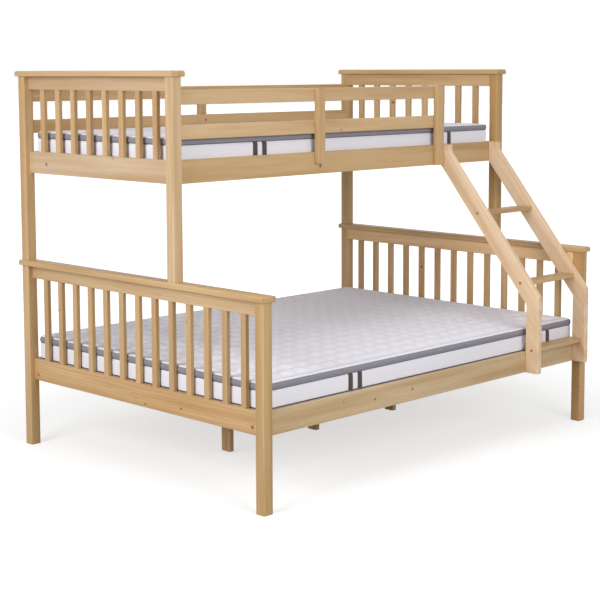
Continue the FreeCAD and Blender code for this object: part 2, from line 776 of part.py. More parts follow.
def stringer(end):
    """A cranked stringer: an upright foot on the lower rail, a slope, and an upright head."""
    inner = ENDS[end]
    outer_face = f"Layout.ladder_{end}"
    start = {"left": outer_face, "right": f"{outer_face} - Sizes.stringer_thick"}[end]
    body = new_body(f"ladder_stringer_{end}", start, "0", "0")
    front_knee = "Layout.knee + Layout.slope_offset - Layout.slope * Sizes.foot_deep"
    front_heel = f"{front_knee} + Layout.slope * (Layout.head_front - Layout.foot_front)"
    outline = (
        ("Layout.foot_back", "Layout.lower_rail_low"),
        ("Layout.foot_back", "Layout.knee"),
        ("Layout.head_back", "Layout.upper_rail_low"),
        ("Layout.head_back", "Layout.upper_rail_top"),
        ("Layout.head_front", "Layout.upper_rail_top"),
        ("Layout.head_front", front_heel),
        ("Layout.foot_front", front_knee),
        ("Layout.foot_front", "Layout.lower_rail_low"),
    )
    sketch = body.newObject("Sketcher::SketchObject", "outline")
    sketch.AttachmentSupport = (origin_part(body, "YZ_Plane"), [""])
    sketch.MapMode = "FlatFace"
    corners = [FreeCAD.Vector(sketch.evalExpression(y), sketch.evalExpression(z), 0) for y, z in outline]
    for step, corner in enumerate(corners):
        sketch.addGeometry(Part.LineSegment(corner, corners[(step + 1) % len(corners)]), False)
    for step, (y, z) in enumerate(outline):
        sketch.addConstraint(Sketcher.Constraint("Coincident", step, 2, (step + 1) % len(corners), 1))
        for kind, value, expression in (("DistanceX", corners[step].x, y), ("DistanceY", corners[step].y, z)):
            number = sketch.addConstraint(Sketcher.Constraint(kind, -1, 1, step, 1, value))
            title = f"corner_{step}_{kind[-1].lower()}"
            sketch.renameConstraint(number, title)
            sketch.setExpression(f"Constraints.{title}", expression)
    pad = body.newObject("PartDesign::Pad", "board")
    pad.Profile = sketch
    pad.setExpression("Length", "Sizes.stringer_thick")
    body.Tip = pad
    doc.recompute()
    faces = [f"Face{number}" for number, face in enumerate(pad.Shape.Faces, start=1) if is_cheek(face)]
    soften(body, "Chamfer", pad, faces, "Sizes.board_ease")
    for tread in TREADS:
        cut_housing(body, tread, inner)


def is_cheek(face):
    """Tell whether a face of a stringer looks along the bed."""
    return abs(face.normalAt(0, 0).dot(ALONG_X)) > PARALLEL_SHARE


def cut_housing(body, tread, inner):
    """The groove in a stringer's inner face that holds the end of a tread."""
    centre_x = {
        1: "Sizes.stringer_thick + (Sizes.overrun - Sizes.tread_housing) / 2",
        -1: "(Sizes.tread_housing - Sizes.overrun) / 2",
    }[inner]
    add_box(
        body,
        "Subtractive",
        f"{tread}_housing",
        (
            "Sizes.tread_housing + Sizes.overrun",
            "Sizes.tread_deep + 2 * Sizes.joint_clear",
            "Sizes.tread_thick + 2 * Sizes.joint_clear",
        ),
        (
            centre_x,
            f"Layout.{tread}_tread_back - Sizes.tread_deep / 2",
            f"Layout.{tread}_tread_low - Sizes.joint_clear",
        ),
    )


def tread(name):
    """A level tread between the stringers; the lowest one lies on the lower rail."""
    body = new_body(
        f"ladder_tread_{name}",
        "(Layout.ladder_left + Layout.ladder_right) / 2",
        f"Layout.{name}_tread_back - Sizes.tread_deep / 2",
        f"Layout.{name}_tread_low",
    )
    size = ("Layout.tread_long", "Sizes.tread_deep", "Sizes.tread_thick")
    stock = add_box(body, "Additive", "stock", size, ("0", "0", "0"))
    soften(body, "Fillet", stock, edges_along(stock.Shape, ALONG_X), "Sizes.tread_round")


# Hardware

def rod(diameter, long, start, direction):
    """A hidden rod from a point, along a direction, with a few flat sides in place of a round."""
    prism = doc.addObject("Part::Prism", "rod")
    prism.setExpression("Polygon", "Sizes.round_sides")
    prism.setExpression("Circumradius", f"{diameter} / 2")
    prism.setExpression("Height", long)
    prism.Placement.Rotation = FreeCAD.Rotation(ALONG_Z, direction)
    bind_base(prism, *start)
    return prism


def disc(diameter, thick, start, direction):
    """A round disc from a point, along a direction."""
    cylinder = doc.addObject("Part::Cylinder", "disc")
    cylinder.setExpression("Radius", f"{diameter} / 2")
    cylinder.setExpression("Height", thick)
    cylinder.Placement.Rotation = FreeCAD.Rotation(ALONG_Z, direction)
    bind_base(cylinder, *start)
    return cylinder


def group(label, members):
    """Identical pieces that share one sub-part, each a solid of its own."""
    compound = doc.addObject("Part::Compound", label)
    compound.Label = label
    compound.Links = members
    parts.append(compound)


def rail_centre_line(tier, side):
    """Y of the middle of a side rail's thickness."""
    return f"{side_place(tier, side)} + {SIDES[side]} * (Sizes.post_side - Sizes.rail_thick / 2)"


def rail_hardware():
    """A bolt and a barrel nut at both ends of each side rail."""
    bolts = []
    nuts = []
    for tier in TIERS:
        height = f"Layout.{tier}_rail_low + Layout.bolt_rise"
        for side in SIDES:
            middle = rail_centre_line(tier, side)
            for inward in ENDS.values():
                start = f"{-inward} * (Layout.inner_half_long + Sizes.bolt_embed)"
                bolts.append(rod("Sizes.bolt_diameter", "Layout.bolt_long", (start, middle, height), ALONG_X * inward))
                nuts.append(barrel_nut(inward, middle, height))
    group("rail_bolts", bolts)
    group("barrel_nuts", nuts)


def barrel_nut(inward, middle, height):
    """A round nut that lies across the rail, with a cross hole for the bolt."""
    place = f"{-inward} * (Layout.inner_half_long - Sizes.nut_setback)"
    front = f"{middle} - Sizes.nut_long / 2"
    nut = doc.addObject("Part::Cut", "nut")
    nut.Base = rod("Sizes.nut_diameter", "Sizes.nut_long", (place, front, height), ALONG_Y)
    hole_start = f"{place} - Sizes.nut_diameter"
    nut.Tool = rod("Layout.bolt_hole", "2 * Sizes.nut_diameter", (hole_start, middle, height), ALONG_X)
    return nut


def stacking_pins():
    """The four pins that stand through the lower caps and hold the upper posts."""
    pins = []
    for inward_x in ENDS.values():
        for side, inward_y in SIDES.items():
            place = (
                f"{-inward_x} * Layout.rail_end_place",
                f"{side_place('upper', side)} + {inward_y} * Sizes.post_side / 2",
                "Layout.lower_top - Sizes.pin_embed",
            )
            pins.append(rod("Sizes.pin_diameter", "Layout.pin_long", place, ALONG_Z))
    group("stacking_pins", pins)


def screw_caps():
    """The round covers over the screws that hold the treads, on both stringers' outer faces."""
    covers = []
    for end, inward in ENDS.items():
        for name in TREADS:
            middle = f"Layout.{name}_tread_low + Sizes.tread_thick / 2"
            across = {
                "lower": "Layout.foot_back - Sizes.foot_deep / 2",
            }.get(name, f"Layout.{name}_tread_back - Sizes.tread_deep / 2")
            start = (f"Layout.ladder_{end}", across, middle)
            covers.append(disc("Sizes.screw_cap_diameter", "Sizes.screw_cap_proud", start, ALONG_X * -inward))
    group("ladder_screw_caps", covers)


def build():
    """Make every sub-part."""
    for tier in TIERS:
        for end in ENDS:
            for side in SIDES:
                post(tier, side, end)
            cap(tier, end)
            panel_rail(tier, "bottom", end)
            panel_rail(tier, "top", end)
            panel_slats(tier, end)
        for side in SIDES:
            side_rail(tier, side)
            bearer(tier, side)
        bed_slats(tier)
        mattress(tier)
    centre_beam()
    for name, step in (("left", -1), ("middle", 0), ("right", 1)):
        centre_leg(name, step)
    guards()
    uprights()
    for end in ENDS:
        stringer(end)
    for name in TREADS:
        tread(name)
    rail_hardware()
    stacking_pins()
    screw_caps()
    doc.recompute()


def check():
    """Stop if anything in the document failed or any sub-part has no sound solid."""
    for item in doc.Objects:
        if "Invalid" in item.State or "Error" in item.State:
            raise RuntimeError(f"{item.Label} failed: {item.getStatusString()}")
    for item in parts:
        if item.Shape.isNull() or not item.Shape.isValid() or not item.Shape.Solids:
            raise RuntimeError(f"{item.Label} has no sound solid")


def export():
    """Write each sub-part to a file of its own."""
    os.makedirs("parts", exist_ok=True)
    for item in parts:
        item.Shape.exportStep(f"parts/{item.Label}.step")
        box = item.Shape.BoundBox
        print(
            f"{item.Label}: {len(item.Shape.Solids)} solids,"
            f" X {box.XMin:.1f} {box.XMax:.1f}, Y {box.YMin:.1f} {box.YMax:.1f}, Z {box.ZMin:.1f} {box.ZMax:.1f}"
        )


fill_sheet()
fill_layout()
build()
check()
export()
print(f"{len(parts)} sub-parts")
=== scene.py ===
# %% [markdown]
# # Triple bunk bed
#
# This lesson dresses a finished construction model of a triple bunk bed: a double bed below, a
# single bed above its back half, and a ladder with cranked sides. The wooden parts come from the
# construction model and keep their shapes. What is made here is the finish of the pine, the two
# mattresses, their borders and tapes, the light, the floor and the camera. All lengths are in
# metres, X runs along the bed, Y from the front to the back, and Z up.

import json
import math

import bmesh
import bpy
from mathutils import Matrix, Vector, noise
from mathutils.bvhtree import BVHTree

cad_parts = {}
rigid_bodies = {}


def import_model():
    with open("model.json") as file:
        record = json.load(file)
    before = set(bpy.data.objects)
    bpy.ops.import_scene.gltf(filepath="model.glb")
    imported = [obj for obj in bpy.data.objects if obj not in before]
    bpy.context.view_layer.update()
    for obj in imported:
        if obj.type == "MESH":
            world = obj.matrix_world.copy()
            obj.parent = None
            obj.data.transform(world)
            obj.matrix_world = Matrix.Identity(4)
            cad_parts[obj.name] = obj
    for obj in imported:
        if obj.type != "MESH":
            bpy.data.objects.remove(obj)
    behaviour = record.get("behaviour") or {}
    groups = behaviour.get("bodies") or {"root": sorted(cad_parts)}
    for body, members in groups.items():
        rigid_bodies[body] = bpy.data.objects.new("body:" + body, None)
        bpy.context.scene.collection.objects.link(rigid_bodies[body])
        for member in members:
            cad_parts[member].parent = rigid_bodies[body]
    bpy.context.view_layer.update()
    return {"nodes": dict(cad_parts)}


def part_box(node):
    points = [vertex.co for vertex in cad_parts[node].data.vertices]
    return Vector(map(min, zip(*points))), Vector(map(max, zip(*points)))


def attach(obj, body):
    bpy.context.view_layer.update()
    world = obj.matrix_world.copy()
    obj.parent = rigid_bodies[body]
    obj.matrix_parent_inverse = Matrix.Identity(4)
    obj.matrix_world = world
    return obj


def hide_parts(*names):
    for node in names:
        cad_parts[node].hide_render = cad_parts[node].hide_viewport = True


for leftover in list(bpy.data.objects):
    bpy.data.objects.remove(leftover)
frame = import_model()
print("wooden parts, fittings and mattresses:", len(frame["nodes"]))

# %% [markdown]
# ## Small helpers
#
# Every finish below is a graph of nodes, and every new piece starts as a bmesh. The helpers keep
# both short. An input that is given a socket is linked to it, and any other value is written into
# it. A Mix node keeps sockets for several kinds of value side by side, so the ones for colours are
# found by their numbers.

# %% Node helpers
MIX_SHARE, MIX_FIRST, MIX_SECOND, MIX_RESULT = 0, 6, 7, 2


def fill(tree, node, inputs):
    """Link or write each of the given inputs of a node."""
    for name, value in inputs.items():
        if isinstance(value, bpy.types.NodeSocket):
            tree.links.new(value, node.inputs[name])
        else:
            node.inputs[name].default_value = value


def put(tree, kind, inputs=None, **settings):
    """Add a node, set its options, and fill its inputs."""
    node = tree.nodes.new(kind)
    for name, value in settings.items():
        setattr(node, name, value)
    fill(tree, node, inputs or {})
    return node


def math_node(tree, operation, *values):
    """Add a number node and give back its result."""
    node = put(tree, "ShaderNodeMath", dict(enumerate(values)), operation=operation)
    return node.outputs["Value"]


def vector_node(tree, operation, *values):
    """Add a vector node and give back its vector."""
    node = put(tree, "ShaderNodeVectorMath", dict(enumerate(values)), operation=operation)
    return node.outputs["Vector"]


def length_node(tree, vector):
    """Give back how long a vector is."""
    node = put(tree, "ShaderNodeVectorMath", {0: vector}, operation="LENGTH")
    return node.outputs["Value"]


def distance_node(tree, first, second):
    """Give back how far two points are apart."""
    node = put(tree, "ShaderNodeVectorMath", {0: first, 1: second}, operation="DISTANCE")
    return node.outputs["Value"]


def range_node(tree, value, low, high, start=0, end=1):
    """Carry a value from one range to another, held at both ends."""
    inputs = {"Value": value, "From Min": low, "From Max": high, "To Min": start, "To Max": end}
    return put(tree, "ShaderNodeMapRange", inputs).outputs["Result"]


def blend_colours(tree, share, first, second, way="MIX"):
    """Mix two colours by a share."""
    inputs = {MIX_SHARE: share, MIX_FIRST: first, MIX_SECOND: second}
    node = put(tree, "ShaderNodeMix", inputs, data_type="RGBA", blend_type=way)
    return node.outputs[MIX_RESULT]


def object_place(tree):
    """A point's place in the object, which is its place in the bed at rest."""
    return put(tree, "ShaderNodeTexCoord").outputs["Object"]


def noise_node(tree, place, scale, detail, **more):
    """Soft noise in space, from nought to one."""
    inputs = {"Vector": place, "Scale": scale, "Detail": detail, **more}
    return put(tree, "ShaderNodeTexNoise", inputs).outputs["Fac"]


def bump_node(tree, height, strength, depth):
    """The slopes that a height gives to a surface."""
    inputs = {"Height": height, "Strength": strength, "Distance": depth}
    return put(tree, "ShaderNodeBump", inputs).outputs["Normal"]


print("node helpers ready")

# %% [markdown]
# ## Colours and pieces
#
# Colours are written down as a screen shows them and turned into the linear ones that nodes use. A
# finished piece keeps its place in its mesh, and its object stays at the origin, so that a pattern
# on Object coordinates lies still.

# %% Colour, material and mesh helpers
WHITE = (1, 1, 1, 1)


def shade(red, green, blue):
    """A screen colour, 0 to 255 a part, as the linear colour that nodes use."""
    full = 255
    bend, slope, lift, power = 0.04045, 12.92, 0.055, 2.4
    parts = [part / full for part in (red, green, blue)]
    linear = [p / slope if p <= bend else ((p + lift) / (1 + lift)) ** power for p in parts]
    return (*linear, 1)


def new_material(name):
    """A material with an empty graph, its main shader and its output."""
    material = bpy.data.materials.new(name)
    material.use_nodes = True
    tree = material.node_tree
    tree.nodes.clear()
    shader = put(tree, "ShaderNodeBsdfPrincipled")
    put(tree, "ShaderNodeOutputMaterial", {"Surface": shader.outputs["BSDF"]})
    return material, tree, shader


def finish_piece(mesh_edit, name, material, smooth=True):
    """Turn a bmesh into an object at the origin with its material."""
    mesh = bpy.data.meshes.new(name)
    mesh_edit.to_mesh(mesh)
    mesh_edit.free()
    mesh.materials.append(material)
    for face in mesh.polygons:
        face.use_smooth = smooth
    piece = bpy.data.objects.new(name, mesh)
    bpy.context.scene.collection.objects.link(piece)
    return piece


print("colour, material and mesh helpers ready")

# %% [markdown]
# ## Camera
#
# The photograph was taken from the front left corner at 45 degrees, from standing height, with a
# long lens. Its view was worked out from the bed's own edges, so the camera is written down as
# three angles and a place. The middle of the lens lies above the middle of the picture, which is
# what a vertical shift of the sensor does.

# %% Place the camera
CAMERA_PLACE = Vector((-4.4719, -4.3631, 1.5874))
CAMERA_TURN = math.radians(45.08)
CAMERA_DIP = math.radians(5.94)
CAMERA_ROLL = math.radians(-0.19)
SENSOR = 36
PICTURE_SIDE = 600
FOCAL_PIXELS = 1447.7
PRINCIPAL_DOWN = 220


def camera_axes():
    """The camera's right, up and backward directions."""
    ahead = Vector(
        (
            math.sin(CAMERA_TURN) * math.cos(CAMERA_DIP),
            math.cos(CAMERA_TURN) * math.cos(CAMERA_DIP),
            -math.sin(CAMERA_DIP),
        )
    )
    level = Vector((math.cos(CAMERA_TURN), -math.sin(CAMERA_TURN), 0))
    upward = level.cross(ahead)
    right = math.cos(CAMERA_ROLL) * level + math.sin(CAMERA_ROLL) * upward
    up = math.cos(CAMERA_ROLL) * upward - math.sin(CAMERA_ROLL) * level
    return right, up, -ahead


def add_camera():
    """Make the camera of the photograph and hand it to the scene."""
    lens = bpy.data.cameras.new("photo_camera")
    lens.sensor_width = SENSOR
    lens.lens = FOCAL_PIXELS / PICTURE_SIDE * SENSOR
    lens.shift_y = (PRINCIPAL_DOWN - PICTURE_SIDE / 2) / PICTURE_SIDE
    camera = bpy.data.objects.new("photo_camera", lens)
    bpy.context.scene.collection.objects.link(camera)
    turn = Matrix(camera_axes()).transposed().to_4x4()
    camera.matrix_world = Matrix.Translation(CAMERA_PLACE) @ turn
    bpy.context.scene.camera = camera
    print("lens", round(lens.lens, 1), "shift", round(lens.shift_y, 3))


add_camera()

# %% [markdown]
# ## Studio
#
# The bed stands on a plain pale floor against white. The white comes from the brightness of the
# world and the floor, which only the camera, reflections and clear things see, so it puts no extra
# light on the bed. All other rays meet an even grey. A large softbox on the left makes the ends of
# the bed its brightest faces, and it fades towards the far end. A second one stands straight in
# front, so each upright slat shades the next one's side. A weak one overhead lifts the mattress
# tops.

# %% Light and floor
FLOOR_REACH = 60
FLOOR_STEPS = 64
FLOOR_PAINT = shade(188, 188, 188)
FLOOR_ROUGHNESS = 0.9
FLOOR_LIFT = 0.62
FLOOR_NEAR, FLOOR_FAR = 1.3, 3.4
SURROUND_LEVEL = 0.38
BED_MIDDLE = Vector((0, 0, 0.8))
LAMPS = (
    ("left_softbox", Vector((-4.8, -0.4, 2.4)), 2.4, 140),
    ("front_softbox", Vector((-1.2, -5.0, 2.4)), 2.4, 124),
    ("top_softbox", Vector((-0.4, -0.6, 5.2)), 3, 42),
)


def seen_directly(tree):
    """One for a ray that the camera, a mirror or a glass sends, nought for any other."""
    path = put(tree, "ShaderNodeLightPath")
    seen = math_node(tree, "MAXIMUM", path.outputs["Is Camera Ray"], path.outputs["Is Glossy Ray"])
    return math_node(tree, "MAXIMUM", seen, path.outputs["Is Transmission Ray"])


def set_surroundings():
    """White for the camera, a plain level of grey light for everything else."""
    world = bpy.data.worlds.new("studio")
    bpy.context.scene.world = world
    world.use_nodes = True
    tree = world.node_tree
    tree.nodes.clear()
    level = range_node(tree, seen_directly(tree), 0, 1, SURROUND_LEVEL, 1)
    back = put(tree, "ShaderNodeBackground", {"Color": WHITE, "Strength": level})
    put(tree, "ShaderNodeOutputWorld", {"Surface": back.outputs["Background"]})


def add_softbox(name, place, side, power):
    """A large square lamp that looks at the middle of the bed."""
    lamp = bpy.data.lights.new(name, "AREA")
    lamp.energy = power
    lamp.size = side
    light = bpy.data.objects.new(name, lamp)
    bpy.context.scene.collection.objects.link(light)
    light.location = place
    light.rotation_euler = (place - BED_MIDDLE).to_track_quat("Z", "Y").to_euler()
    print(name, "power", power)


def floor_paint():
    """Pale paint that keeps the bed's shadow near it and is plain white further away."""
    material, tree, shader = new_material("floor_paint")
    looks = {"Base Color": FLOOR_PAINT, "Roughness": FLOOR_ROUGHNESS, "Specular IOR Level": 0}
    fill(tree, shader, looks)
    away = length_node(tree, object_place(tree))
    white = range_node(tree, away, FLOOR_NEAR, FLOOR_FAR, FLOOR_LIFT, 1)
    lift = math_node(tree, "MULTIPLY", seen_directly(tree), white)
    glow = put(tree, "ShaderNodeEmission", {"Color": WHITE, "Strength": lift})
    both = put(tree, "ShaderNodeAddShader", {0: shader.outputs["BSDF"], 1: glow.outputs["Emission"]})
    output = next(node for node in tree.nodes if node.type == "OUTPUT_MATERIAL")
    fill(tree, output, {"Surface": both.outputs["Shader"]})
    return material


def add_floor():
    """A wide painted disc."""
    disc = bmesh.new()
    bmesh.ops.create_circle(disc, cap_ends=True, segments=FLOOR_STEPS, radius=FLOOR_REACH)
    floor = finish_piece(disc, "floor", floor_paint(), smooth=False)


bpy.context.scene.view_settings.view_transform = "Standard"
set_surroundings()
for lamp_row in LAMPS:
    add_softbox(*lamp_row)
add_floor()

# %% [markdown]
# ## Pine: rings and knots
#
# The wood is knotty pine under a clear finish. A board shows a slice of the growth rings of its
# tree: long soft streaks along the grain, arcs at its ends, and knots where branches grew. A flat
# picture wrapped round a board can't do that, so the pattern here is solid: rings round a pith
# that lies beside the board, bent a little along its length, and cut by whatever face the board
# has. A knot pushes the rings near it aside. Chance knots sit in cells of space, and each cell
# gives its knot a radius of its own.

# %% Rings and knots in space
RING_STEP = 0.0048
RING_SWAY = 0.028
SWAY_SCALE, SWAY_DETAIL = (0.9, 7, 7), 2
KNOT_CELLS = (4.2, 10, 10)
KNOT_RADIUS = (0.0025, 0.0065)
KNOT_PUSH = 0.007
KNOT_REACH = 1.9


def stretched_noise(tree, place, stretch, detail, **more):
    """Noise that is finer along some axes than along others."""
    return noise_node(tree, vector_node(tree, "MULTIPLY", place, stretch), 1, detail, **more)


def scattered_knots(tree, place):
    """How far a point is from the nearest chance knot, counted in that knot's radii."""
    cells = vector_node(tree, "MULTIPLY", place, KNOT_CELLS)
    scatter = put(tree, "ShaderNodeTexVoronoi", {"Vector": cells, "Scale": 1}, feature="F1")
    away = vector_node(tree, "SUBTRACT", scatter.outputs["Position"], cells)
    far = length_node(tree, vector_node(tree, "DIVIDE", away, KNOT_CELLS))
    split = put(tree, "ShaderNodeSeparateColor", {"Color": scatter.outputs["Color"]})
    radius = range_node(tree, split.outputs["Red"], 0, 1, *KNOT_RADIUS)
    return math_node(tree, "DIVIDE", far, radius)


def ring_phase(tree, place, knot):
    """Where a point lies between two growth rings, from nought to one."""
    sway = stretched_noise(tree, place, SWAY_SCALE, SWAY_DETAIL)
    split = put(tree, "ShaderNodeSeparateXYZ", {"Vector": place})
    across = put(tree, "ShaderNodeCombineXYZ", {"Y": split.outputs["Y"], "Z": split.outputs["Z"]})
    out = length_node(tree, across.outputs["Vector"])
    swayed = math_node(tree, "MULTIPLY_ADD", sway, RING_SWAY, out)
    near = math_node(tree, "POWER", math_node(tree, "DIVIDE", knot, KNOT_REACH), 2)
    fall = math_node(tree, "EXPONENT", math_node(tree, "MULTIPLY", near, -1))
    pushed = math_node(tree, "ADD", swayed, math_node(tree, "MULTIPLY", fall, KNOT_PUSH))
    return math_node(tree, "FRACT", math_node(tree, "DIVIDE", pushed, RING_STEP))


print("rings", RING_STEP, "apart")

# %% [markdown]
# ## Pine: colour and relief
#
# Late wood darkens slowly towards the end of each ring and stops sharply where the next one
# begins. Wide soft patches are warmer, and fine fibres streak the whole. A knot has a brown heart,
# a dark edge and a warm halo. The pattern is built once as a group of nodes, which takes a point
# in the board, with X along the grain, and how far the nearest named knot is.

# %% The pattern as a group
TONE_SCALE, TONE_DETAIL = (1.3, 26, 26), 2
FIBRE_SCALE, FIBRE_DETAIL, FIBRE_ROUGHNESS = (9, 420, 420), 3, 0.6
LATE_SHARE = 0.34
LATE_RISE = (0.35, 0.9)
LATE_FALL = (0.93, 1)
WARM_FROM_TO = (0.38, 0.72)
STREAK_FROM_TO, STREAK_TONE = (0.3, 0.7), (0.93, 1.05)
HALO_RADII, HALO_SHARE = (1, 2.4), 0.7
HEART_RADII = (0.55, 0.95)
EDGE_RADII = (0.9, 1.15)
ROUGH_FROM_TO, WOOD_ROUGHNESS = (0.2, 0.8), (0.36, 0.5)
FIBRE_RELIEF_SHARE, LATE_RELIEF_SHARE = 0.6, 0.4
PALE_WOOD = shade(200, 168, 123)
DARK_WOOD = shade(160, 121, 76)
WARM_WOOD = shade(178, 140, 92)
KNOT_HEART = shade(137, 94, 58)
KNOT_EDGE = shade(92, 58, 34)
KNOT_HALO = shade(190, 145, 96)
FIGURE_SOCKETS = (
    ("Place", "INPUT", "NodeSocketVector"),
    ("Knot", "INPUT", "NodeSocketFloat"),
    ("Colour", "OUTPUT", "NodeSocketColor"),
    ("Roughness", "OUTPUT", "NodeSocketFloat"),
    ("Height", "OUTPUT", "NodeSocketFloat"),
)


def late_wood(tree, phase):
    """How far a point is into the late wood of its ring."""
    rise = range_node(tree, phase, *LATE_RISE)
    fall = range_node(tree, phase, *LATE_FALL, 1, 0)
    return math_node(tree, "MULTIPLY", rise, fall)


def clear_wood(tree, place, late, fibre):
    """The colour of wood without knots."""
    tone = stretched_noise(tree, place, TONE_SCALE, TONE_DETAIL)
    base = blend_colours(tree, range_node(tree, tone, *WARM_FROM_TO), PALE_WOOD, WARM_WOOD)
    figured = blend_colours(tree, math_node(tree, "MULTIPLY", late, LATE_SHARE), base, DARK_WOOD)
    streaks = range_node(tree, fibre, *STREAK_FROM_TO, *STREAK_TONE)
    return blend_colours(tree, 1, figured, streaks, "MULTIPLY")


def with_knots(tree, wood, knot):
    """Lay the halo, the edge and the heart of the nearest knot over the wood."""
    halo = range_node(tree, knot, *HALO_RADII, HALO_SHARE, 0)
    ringed = blend_colours(tree, halo, wood, KNOT_HALO)
    heart = blend_colours(tree, range_node(tree, knot, *HEART_RADII), KNOT_HEART, KNOT_EDGE)
    return blend_colours(tree, range_node(tree, knot, *EDGE_RADII, 1, 0), ringed, heart)


def pine_group():
    """The pattern of a pine board as a group of nodes."""
    tree = bpy.data.node_groups.new("pine_figure", "ShaderNodeTree")
    for name, way, kind in FIGURE_SOCKETS:
        tree.interface.new_socket(name, in_out=way, socket_type=kind)
    given = put(tree, "NodeGroupInput")
    place = given.outputs["Place"]
    knot = math_node(tree, "MINIMUM", scattered_knots(tree, place), given.outputs["Knot"])
    late = late_wood(tree, ring_phase(tree, place, knot))
    fibre = stretched_noise(tree, place, FIBRE_SCALE, FIBRE_DETAIL, Roughness=FIBRE_ROUGHNESS)
    late_relief = math_node(tree, "MULTIPLY", late, LATE_RELIEF_SHARE)
    outputs = {
        "Colour": with_knots(tree, clear_wood(tree, place, late, fibre), knot),
        "Roughness": range_node(tree, fibre, *ROUGH_FROM_TO, *WOOD_ROUGHNESS),
        "Height": math_node(tree, "MULTIPLY_ADD", fibre, FIBRE_RELIEF_SHARE, late_relief),
    }
    put(tree, "NodeGroupOutput", outputs)
    return tree


PINE_FIGURE = pine_group()
print("pine figure:", len(PINE_FIGURE.nodes), "nodes")

# %% [markdown]
# ## One board, one material
#
# Two boards never come from the same piece of wood, so each board has a material of its own that
# puts the group's pith in another place and turns its grain along the board. Its tint makes it
# lighter or darker, which paints light and shade into some boards. A row of slats is one part in
# the construction model, so its material counts the slats along the row, shifts the pattern for
# each and makes some a little darker. Knots that the photograph shows are named by their place on
# the board.

# %% Grain directions and the boards' own materials
ALONG = {"x": Vector((1, 0, 0)), "y": Vector((0, 1, 0)), "z": Vector((0, 0, 1))}
PITH_BESIDE = 0.075
PITH_SPREAD = 0.05
BOARD_SHIFT = 7
SLAT_SHIFT = (1.7, 0.06, 0.05)
SLAT_TONE = (0.9, 1.04)
FAR_KNOT = 50
FINISH_DEPTH = 0.0004
FINISH_BUMP = 0.35
WOOD_GLOSS = {"Specular IOR Level": 0.3, "Coat Weight": 0.1, "Coat Roughness": 0.28}


def chance(seed, row):
    """A steady random number from nought to one."""
    return noise.cell(Vector((seed + row / 2, row, seed / 2)))


def wood_point(tree, coordinates, grain, seed):
    """A point of the board, turned so that X follows the grain and moved to its own pith."""
    turn = grain.rotation_difference(ALONG["x"]).to_euler()
    shift = (
        BOARD_SHIFT * chance(seed, 1),
        PITH_BESIDE + PITH_SPREAD * chance(seed, 2),
        PITH_BESIDE + PITH_SPREAD * chance(seed, 3),
    )
    inputs = {"Vector": coordinates, "Rotation": turn, "Location": shift}
    return put(tree, "ShaderNodeMapping", inputs).outputs["Vector"]


def nearest_knot(tree, coordinates, knots):
    """How far a point is from the named knots, counted in their radii."""
    nearest = FAR_KNOT
    for place, radius in knots:
        far = math_node(tree, "DIVIDE", distance_node(tree, coordinates, place), radius)
        nearest = math_node(tree, "MINIMUM", nearest, far)
    return nearest


def slat_luck(tree, coordinates, row):
    """A steady random colour for each slat of a row."""
    axis, start, pitch = row
    split = put(tree, "ShaderNodeSeparateXYZ", {"Vector": coordinates})
    along = math_node(tree, "SUBTRACT", split.outputs[axis], start)
    counted = math_node(tree, "FLOOR", math_node(tree, "DIVIDE", along, pitch))
    return put(tree, "ShaderNodeTexWhiteNoise", {"W": counted}, noise_dimensions="1D").outputs["Color"]


def pine(name, grain, seed, painted_tint, knots, row):
    """The finish of one board or one row of slats."""
    material, tree, shader = new_material(name)
    coordinates = object_place(tree)
    place = wood_point(tree, coordinates, grain, seed)
    if row:
        luck = slat_luck(tree, coordinates, row)
        place = vector_node(tree, "MULTIPLY_ADD", luck, SLAT_SHIFT, place)
    inputs = {"Place": place, "Knot": nearest_knot(tree, coordinates, knots)}
    figure = put(tree, "ShaderNodeGroup", inputs, node_tree=PINE_FIGURE)
    # The tint is painted light and shade, laid into the board's colour.
    colour = vector_node(tree, "MULTIPLY", figure.outputs["Colour"], painted_tint)
    if row:
        split = put(tree, "ShaderNodeSeparateColor", {"Color": luck})
        tone = range_node(tree, split.outputs["Red"], 0, 1, *SLAT_TONE)
        colour = vector_node(tree, "MULTIPLY", colour, tone)
    relief = bump_node(tree, figure.outputs["Height"], FINISH_BUMP, FINISH_DEPTH)
    looks = {"Base Color": colour, "Roughness": figure.outputs["Roughness"], "Normal": relief}
    fill(tree, shader, {**looks, **WOOD_GLOSS})
    return material


print("pith beside each board by", PITH_BESIDE, "or more")

# %% [markdown]
# ## Which way each board runs
#
# Rails, guard boards, the beam and the treads lie along the bed, the caps, the end rails and the
# bed slats across it, and posts, uprights and legs stand. The sloping middle of the ladder's sides
# shows their grain best, so their wood is turned to that slope. The first word that a part's name
# holds decides.

# %% Grain by name
GRAIN_WORDS = (
    ("stringer", "slope"),
    ("panel_slats", "z"),
    ("bed_slats", "y"),
    ("cap_", "y"),
    ("bottom_rail", "y"),
    ("top_rail", "y"),
    ("post", "z"),
    ("leg", "z"),
    ("upright", "z"),
    ("side_rail", "x"),
    ("bearer", "x"),
    ("beam", "x"),
    ("board", "x"),
    ("tread", "x"),
)
LADDER_SLOPE = Vector((0, 0.635, 0.773))


def grain_of(name):
    """The direction of the grain in a part, by a word of its name."""
    word = next(way for part, way in GRAIN_WORDS if part in name)
    return LADDER_SLOPE if word == "slope" else ALONG[word]


print("grain words:", len(GRAIN_WORDS))
